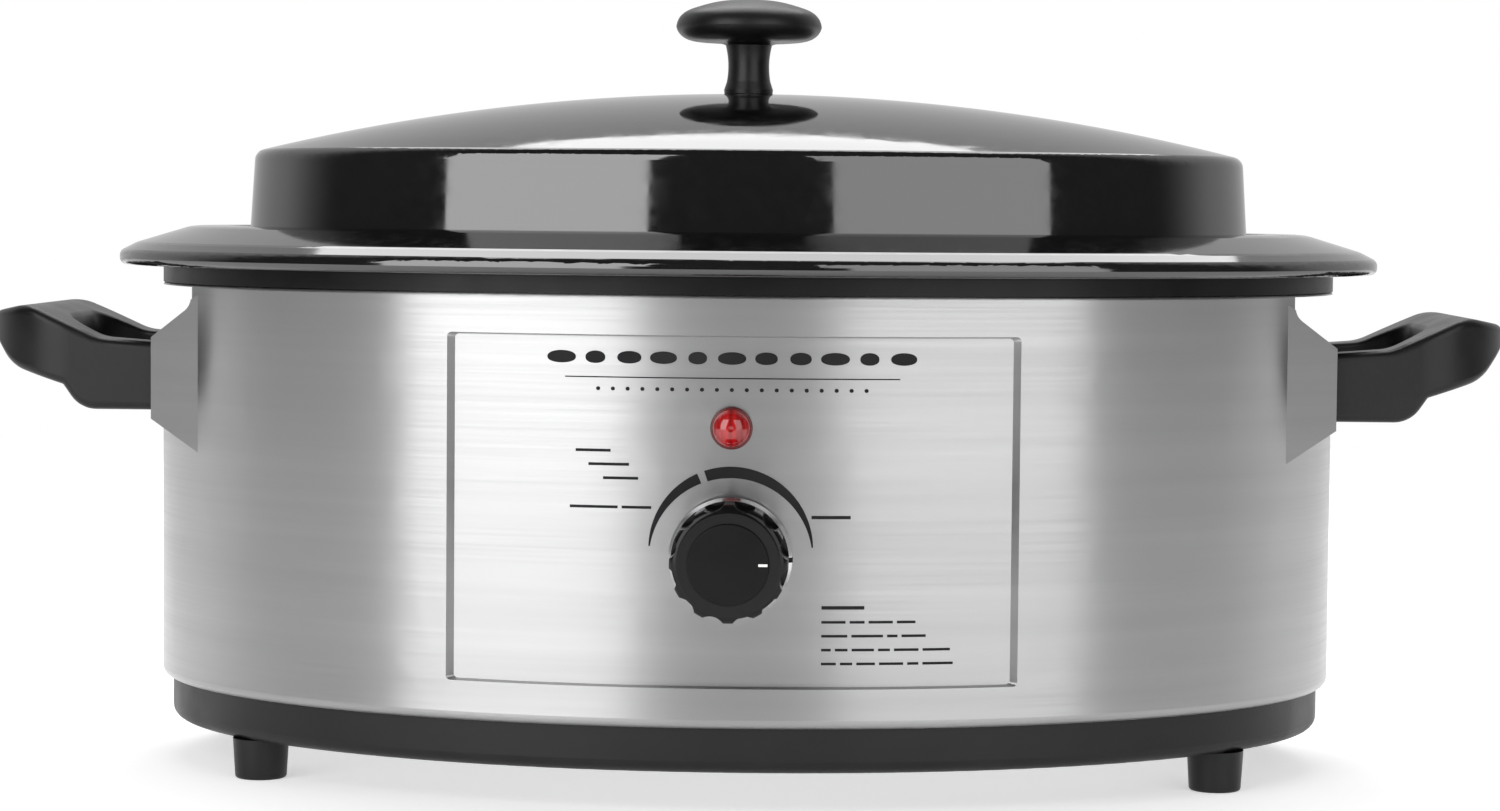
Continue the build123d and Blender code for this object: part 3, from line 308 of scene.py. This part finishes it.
def pebble(x, z, half_width, half_height, steps=28):
    """Rails of a printed pebble, a slightly flattened oval."""
    top, low = [], []
    for i in range(steps + 1):
        turn = pi * i / steps
        px = x - half_width * cos(turn)
        rise = half_height * sin(turn) ** 0.85
        top.append((px, z + rise))
        low.append((px, z - rise * 0.92))
    return top, low


# ---------------------------------------------------------------- printed panel

ARC_TIP_Z = DIAL_Z + 2.3 * MM
ARC_OUTER = (22.1 * MM, ARC_TIP_Z + 0.3 * MM)
ARC_INNER = (21.96 * MM, ARC_TIP_Z - 2.66 * MM)
ARC_GAP_ANGLE = 21.5
ARC_GAP_HALF = 2.6
ARC_END_ANGLE = 88.0

RULE_Z = 118.3 * MM
RULE_HALF_WIDTH = 45.0 * MM
PEBBLE_Z = 123.6 * MM
PEBBLE_SPREAD = 46.0 * MM
PEBBLE_COUNT = 11
DOT_Z = 115.2 * MM
DOT_RADIUS = 0.55 * MM
DOT_COUNT = 19
NOTE_X = 24.5 * MM


def ray_to_circle(angle, circle):
    """Point of a circle centred on x=0, seen from the arc's middle at an angle left of the top."""
    radius, centre_z = circle
    turn = radians(angle)
    direction = (-sin(turn), cos(turn))
    offset = ARC_TIP_Z - centre_z
    along = -direction[1] * offset + sqrt((direction[1] * offset) ** 2 - offset ** 2 + radius ** 2)
    return direction[0] * along, ARC_TIP_Z + direction[1] * along


def range_arc(start, end, steps=40):
    """Rails of one stretch of the tapered range arc, in degrees left of the top."""
    angles = [start + (end - start) * i / steps for i in range(steps + 1)]
    return [ray_to_circle(a, ARC_OUTER) for a in angles], [ray_to_circle(a, ARC_INNER) for a in angles]


def print_panel():
    """The arc, a rule line, a pebble row and a row of dots."""
    printed("range_arc_low", [range_arc(ARC_END_ANGLE, ARC_GAP_ANGLE + ARC_GAP_HALF)])
    printed("range_arc_high", [range_arc(ARC_GAP_ANGLE - ARC_GAP_HALF, -ARC_END_ANGLE)])
    printed("panel_rule", [bar(-RULE_HALF_WIDTH, RULE_HALF_WIDTH, RULE_Z, 0.32 * MM, 24)])
    pebbles = []
    for i in range(PEBBLE_COUNT):
        x = -PEBBLE_SPREAD + 2 * PEBBLE_SPREAD * i / (PEBBLE_COUNT - 1)
        half_width = (3.2 + 0.7 * cos(i * 2.4)) * MM
        pebbles.append(pebble(x, PEBBLE_Z, half_width, 1.75 * MM))
    printed("panel_pebbles", pebbles)
    dots = [pebble((-36 + 4 * i) * MM, DOT_Z, DOT_RADIUS, DOT_RADIUS, 12) for i in range(DOT_COUNT)]
    printed("panel_dots", dots)


def dashed_line(x_start, z, lengths, height, gap=1.1 * MM):
    """Rails of a row of dashes of the given lengths."""
    bars = []
    x = x_start
    for length in lengths:
        bars.append(bar(x, x + length, z, height, 3))
        x += length + gap
    return bars


def print_notes():
    """The small marks round the dial and the block of plain dashes at the lower right."""
    left = []
    for x, z, lengths in (
        (-42.0, 98.6, (9.5,)),
        (-38.5, 94.9, (11.0,)),
        (-34.5, 91.2, (9.5,)),
        (-43.5, 83.4, (13.0, 8.0)),
    ):
        left += dashed_line(x * MM, z * MM, [length * MM for length in lengths], 0.75 * MM)
    printed("range_marks_left", left)
    printed("range_mark_right", dashed_line(21.6 * MM, 81.2 * MM, [10.5 * MM], 0.9 * MM))
    notes = dashed_line(NOTE_X, 56.9 * MM, [11.5 * MM], 0.95 * MM)
    rows = (
        (6.5, 4.0, 6.5, 5.0),
        (7.0, 8.5, 2.8, 6.5),
        (2.6, 3.4, 6.0, 3.2, 6.6, 7.4),
        (4.0, 3.3, 5.0, 6.5, 3.0, 8.2),
    )
    for i, row in enumerate(rows):
        notes += dashed_line(NOTE_X, (53.0 - 3.75 * i) * MM, [length * MM for length in row], 0.7 * MM)
    printed("note_dashes", notes)


# ---------------------------------------------------------------- small pieces

def skirt_mark():
    """Black index mark on the dial's bright skirt, at the three o'clock side."""
    front = SKIRT_LOW[1]
    inner = SKIRT_RADIUS - 1.6 * MM
    outer = SKIRT_RADIUS + 0.15 * MM
    half = 0.65 * MM
    points = []
    for x, y in (
        (inner, front - 0.1 * MM),
        (SKIRT_RADIUS - 1.2 * MM, front - 0.1 * MM),
        (outer, front + 1.2 * MM),
        (outer, front + 2.4 * MM),
        (inner, front + 2.4 * MM),
    ):
        points += [(x, y, DIAL_Z - half), (x, y, DIAL_Z + half)]
    count = len(points) // 2
    faces = [tuple(2 * i for i in range(count)), tuple(2 * i + 1 for i in reversed(range(count)))]
    for i in range(count):
        j = (i + 1) % count
        faces.append((2 * i, 2 * i + 1, 2 * j + 1, 2 * j))
    fix_normals(mesh_piece("skirt_mark", points, faces, MATERIALS["ink"], "dial"))


# ---------------------------------------------------------------- stage, light and camera

def flat_material(name, color, roughness):
    """Plain, faintly glowing material of the floor, with a faint unevenness."""
    material, shader = new_material(name, color, roughness)
    shader.inputs["Emission Color"].default_value = (*color, 1.0)
    shader.inputs["Emission Strength"].default_value = FLOOR_GLOW
    noise = object_noise(material, (1.0, 1.0, 1.0), 3.0, 2.0)
    sheen = ranged(material, noise, roughness - 0.05, roughness)
    material.node_tree.links.new(sheen, shader.inputs["Roughness"])
    return material


FLOOR_RADIUS = 1.5
FLOOR_SIDES = 96
FLOOR_GLOW = 0.62
FLOOR_COLOR = (0.80, 0.80, 0.80)


def build_floor():
    """A round, plain, pale floor."""
    mesh = bpy.data.meshes.new("floor")
    turns = [2 * pi * i / FLOOR_SIDES for i in range(FLOOR_SIDES)]
    rim = [(FLOOR_RADIUS * cos(turn), FLOOR_RADIUS * sin(turn), 0) for turn in turns]
    mesh.from_pydata(rim, [], [tuple(range(FLOOR_SIDES))])
    mesh.materials.append(flat_material("floor_pale", FLOOR_COLOR, 0.9))
    floor = bpy.data.objects.new("floor", mesh)
    bpy.context.scene.collection.objects.link(floor)


def softbox(name, azimuth, elevation, distance, width, height, radiance):
    """A rectangular light aimed at the object, hidden from the camera itself."""
    light = bpy.data.lights.new(name, "AREA")
    light.shape = "RECTANGLE"
    light.size = width
    light.size_y = height
    light.energy = radiance * pi * width * height
    lamp = bpy.data.objects.new(name, light)
    turn, lift = radians(azimuth), radians(elevation)
    aim = Vector((0, 0, 0.12))
    lamp.location = aim + distance * Vector((sin(turn) * cos(lift), -cos(turn) * cos(lift), sin(lift)))
    lamp.rotation_euler = (aim - lamp.location).to_track_quat("-Z", "Y").to_euler()
    lamp.visible_camera = False
    bpy.context.scene.collection.objects.link(lamp)


def build_world():
    """White surroundings behind the object and a dim room in front of it."""
    world = bpy.data.worlds.new("studio")
    bpy.context.scene.world = world
    world.use_nodes = True
    nodes, links = world.node_tree.nodes, world.node_tree.links
    background = nodes["Background"]
    place = nodes.new("ShaderNodeTexCoord")
    split = nodes.new("ShaderNodeSeparateXYZ")
    spread = nodes.new("ShaderNodeMapRange")
    spread.interpolation_type = "SMOOTHSTEP"
    spread.inputs["From Min"].default_value = -0.10
    spread.inputs["From Max"].default_value = 0.45
    spread.inputs["To Min"].default_value = 0.08
    spread.inputs["To Max"].default_value = 0.70
    seen = nodes.new("ShaderNodeLightPath")
    mix = nodes.new("ShaderNodeMix")
    mix.data_type = "FLOAT"
    mix.inputs["B"].default_value = 1.0
    links.new(place.outputs["Generated"], split.inputs["Vector"])
    links.new(split.outputs["Y"], spread.inputs["Value"])
    links.new(spread.outputs["Result"], mix.inputs["A"])
    links.new(seen.outputs["Is Camera Ray"], mix.inputs["Factor"])
    links.new(mix.outputs["Result"], background.inputs["Strength"])
    background.inputs["Color"].default_value = (1.0, 1.0, 1.0, 1.0)


CAMERA_DISTANCE = 1.105
CAMERA_HEIGHT = 0.165
CAMERA_AZIMUTH = 1.8
CAMERA_PITCH = -3.13
CAMERA_YAW = -0.065
CAMERA_ROLL = 0.5


def build_camera():
    """Nearly straight on, a little below the lid's knob."""
    data = bpy.data.cameras.new("camera")
    data.sensor_width = 36.0
    data.lens = 88.56
    data.dof.use_dof = False
    camera = bpy.data.objects.new("camera", data)
    turn = radians(CAMERA_AZIMUTH)
    camera.location = (CAMERA_DISTANCE * sin(turn), -CAMERA_DISTANCE * cos(turn), CAMERA_HEIGHT)
    heading = radians(CAMERA_AZIMUTH + CAMERA_YAW)
    look = Euler((radians(90 + CAMERA_PITCH), 0, heading), "XYZ").to_matrix()
    roll = Matrix.Rotation(radians(CAMERA_ROLL), 3, "Z")
    camera.rotation_euler = (look @ roll).to_euler()
    bpy.context.scene.collection.objects.link(camera)
    bpy.context.scene.camera = camera


build_camera()
build_floor()
build_world()
softbox("softbox_left", -34, 14, 1.5, 1.0, 1.5, 3.6)
softbox("softbox_right", 33, 14, 1.5, 1.08, 1.5, 2.1)
softbox("softbox_top", 180, 62, 1.5, 1.3, 1.3, 3.0)
paint_nodes()
print_panel()
print_notes()
skirt_mark()

bpy.context.scene.view_settings.view_transform = "Standard"
